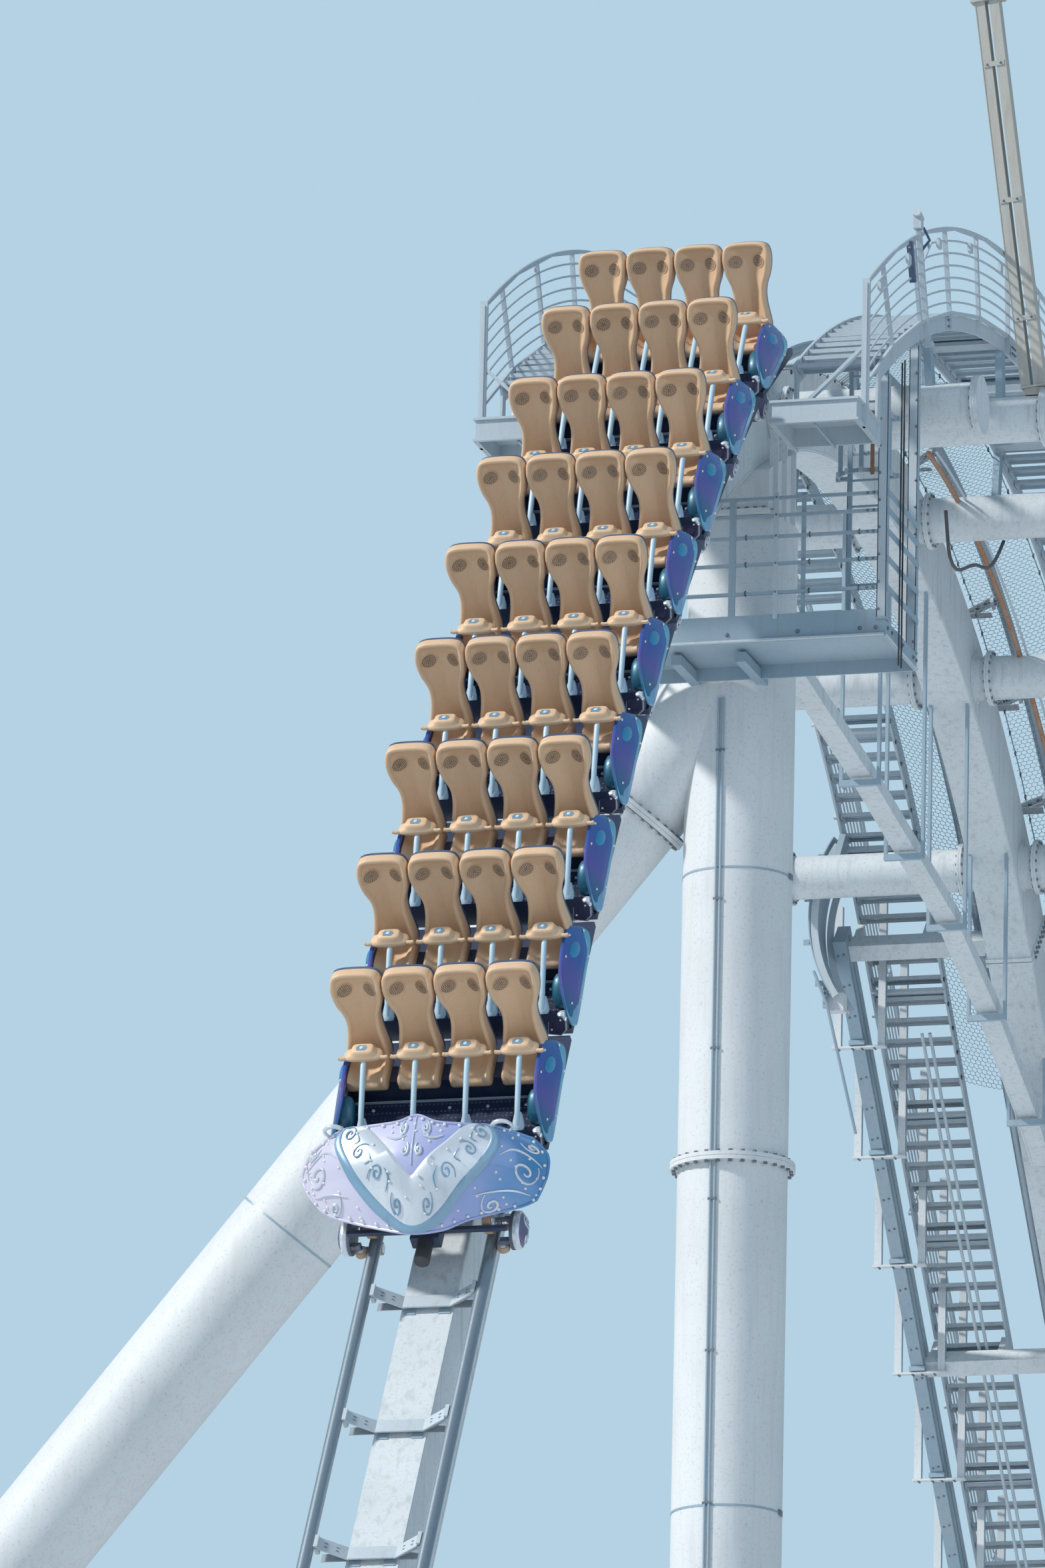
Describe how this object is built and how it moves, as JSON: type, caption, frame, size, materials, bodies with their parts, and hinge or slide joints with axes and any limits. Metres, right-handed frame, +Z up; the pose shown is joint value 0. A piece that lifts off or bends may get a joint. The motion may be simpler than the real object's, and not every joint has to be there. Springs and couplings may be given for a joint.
{
  "type": "roller coaster, 1:2 scale model",
  "caption": "Crest of a steel roller coaster: box-spine track on a round column with a brace leg, lift stairs, railed catwalks, and a train of open seats with lap bars going down the drop",
  "frame": {"origin": "centre of the main column's foot plate, at ground level", "axes": "+Z up; +X to the riders' left; -Y the way the train travels down the drop; +Y towards the lift"},
  "size_m": [20.1567, 23.8047, 24.495],
  "materials": {
    "column_paint": "weathered near-white paint",
    "track_paint": "weathered near-white paint",
    "rail_steel": "worn dark steel",
    "tie_paint": "mid grey paint",
    "steelwork": "light blue-grey galvanised paint",
    "mast_paint": "beige-grey paint",
    "seat_shell": "tan moulded shell",
    "lap_bar": "pale blue bar with a tan pad",
    "chassis_paint": "dark navy paint",
    "panel_paint": "blue to violet gloss",
    "bogie_paint": "dark grey with tan tyres",
    "nose_shell": "silver and blue gloss",
    "bumper_rubber": "black rubber"
  },
  "bodies": {
    "structure": {"brace_leg_lower": "column_paint", "brace_leg_upper": "column_paint", "bumper": "bumper_rubber", "caged_ladder": "steelwork", "catwalk_brackets": "steelwork", "column_head": "track_paint", "crest_spine": "track_paint", "crest_ties": "tie_paint", "cross_tubes": "track_paint", "drop_spine": "track_paint", "drop_ties": "tie_paint", "front_support": "column_paint", "left_bogies": "bogie_paint", "left_catwalk": "steelwork", "left_lift_stair": "steelwork", "left_rail": "rail_steel", "left_railing": "steelwork", "left_stair_beam": "steelwork", "left_stair_railing": "steelwork", "lift_spine": "track_paint", "lift_ties": "tie_paint", "lightning_rod": "mast_paint", "main_column_lower": "column_paint", "main_column_upper": "column_paint", "mast": "mast_paint", "nose_fairing": "nose_shell", "platform_posts": "steelwork", "platform_railing": "steelwork", "rear_support": "column_paint", "return_trough": "track_paint", "right_bogies": "bogie_paint", "right_catwalk": "steelwork", "right_lift_stair": "steelwork", "right_rail": "rail_steel", "right_railing": "steelwork", "right_stair_beam": "steelwork", "right_stair_railing": "steelwork", "seats_row_1": "seat_shell", "seats_row_2": "seat_shell", "seats_row_3": "seat_shell", "seats_rows_4_to_6": "seat_shell", "seats_rows_7_to_9": "seat_shell", "service_platform": "steelwork", "side_panels": "panel_paint", "stair_arms": "steelwork", "stair_guard": "steelwork", "train_chassis": "chassis_paint", "trough_hangers": "steelwork"},
    "lap_bars_row_1": {"lap_bars_row_1": "lap_bar"},
    "lap_bars_row_2": {"lap_bars_row_2": "lap_bar"},
    "lap_bars_row_3": {"lap_bars_row_3": "lap_bar"},
    "lap_bars_row_4": {"lap_bars_row_4": "lap_bar"},
    "lap_bars_row_5": {"lap_bars_row_5": "lap_bar"},
    "lap_bars_row_6": {"lap_bars_row_6": "lap_bar"},
    "lap_bars_row_7": {"lap_bars_row_7": "lap_bar"},
    "lap_bars_row_8": {"lap_bars_row_8": "lap_bar"},
    "lap_bars_row_9": {"lap_bars_row_9": "lap_bar"}
  },
  "joints": [
    {"name": "lap_bars_row_1_hinge", "type": "hinge", "parent": "structure", "child": "lap_bars_row_1", "pos_m": [0, -5.86552, 15.6137], "axis": [1, 0, 0], "range_deg": [0, 40]},
    {"name": "lap_bars_row_2_hinge", "type": "hinge", "parent": "structure", "child": "lap_bars_row_2", "pos_m": [0, -5.44563, 16.31528], "axis": [1, 0, 0], "range_deg": [0, 40]},
    {"name": "lap_bars_row_3_hinge", "type": "hinge", "parent": "structure", "child": "lap_bars_row_3", "pos_m": [0, -5.013, 17.02041], "axis": [1, 0, 0], "range_deg": [0, 40]},
    {"name": "lap_bars_row_4_hinge", "type": "hinge", "parent": "structure", "child": "lap_bars_row_4", "pos_m": [0, -4.54832, 17.70485], "axis": [1, 0, 0], "range_deg": [0, 40]},
    {"name": "lap_bars_row_5_hinge", "type": "hinge", "parent": "structure", "child": "lap_bars_row_5", "pos_m": [0, -4.05257, 18.36712], "axis": [1, 0, 0], "range_deg": [0, 40]},
    {"name": "lap_bars_row_6_hinge", "type": "hinge", "parent": "structure", "child": "lap_bars_row_6", "pos_m": [0, -3.5268, 19.00583], "axis": [1, 0, 0], "range_deg": [0, 40]},
    {"name": "lap_bars_row_7_hinge", "type": "hinge", "parent": "structure", "child": "lap_bars_row_7", "pos_m": [0, -2.97214, 19.61962], "axis": [1, 0, 0], "range_deg": [0, 40]},
    {"name": "lap_bars_row_8_hinge", "type": "hinge", "parent": "structure", "child": "lap_bars_row_8", "pos_m": [0, -2.38974, 20.21262], "axis": [1, 0, 0], "range_deg": [0, 40]},
    {"name": "lap_bars_row_9_hinge", "type": "hinge", "parent": "structure", "child": "lap_bars_row_9", "pos_m": [0, -1.75349, 20.76987], "axis": [1, 0, 0], "range_deg": [0, 40]}
  ]
}
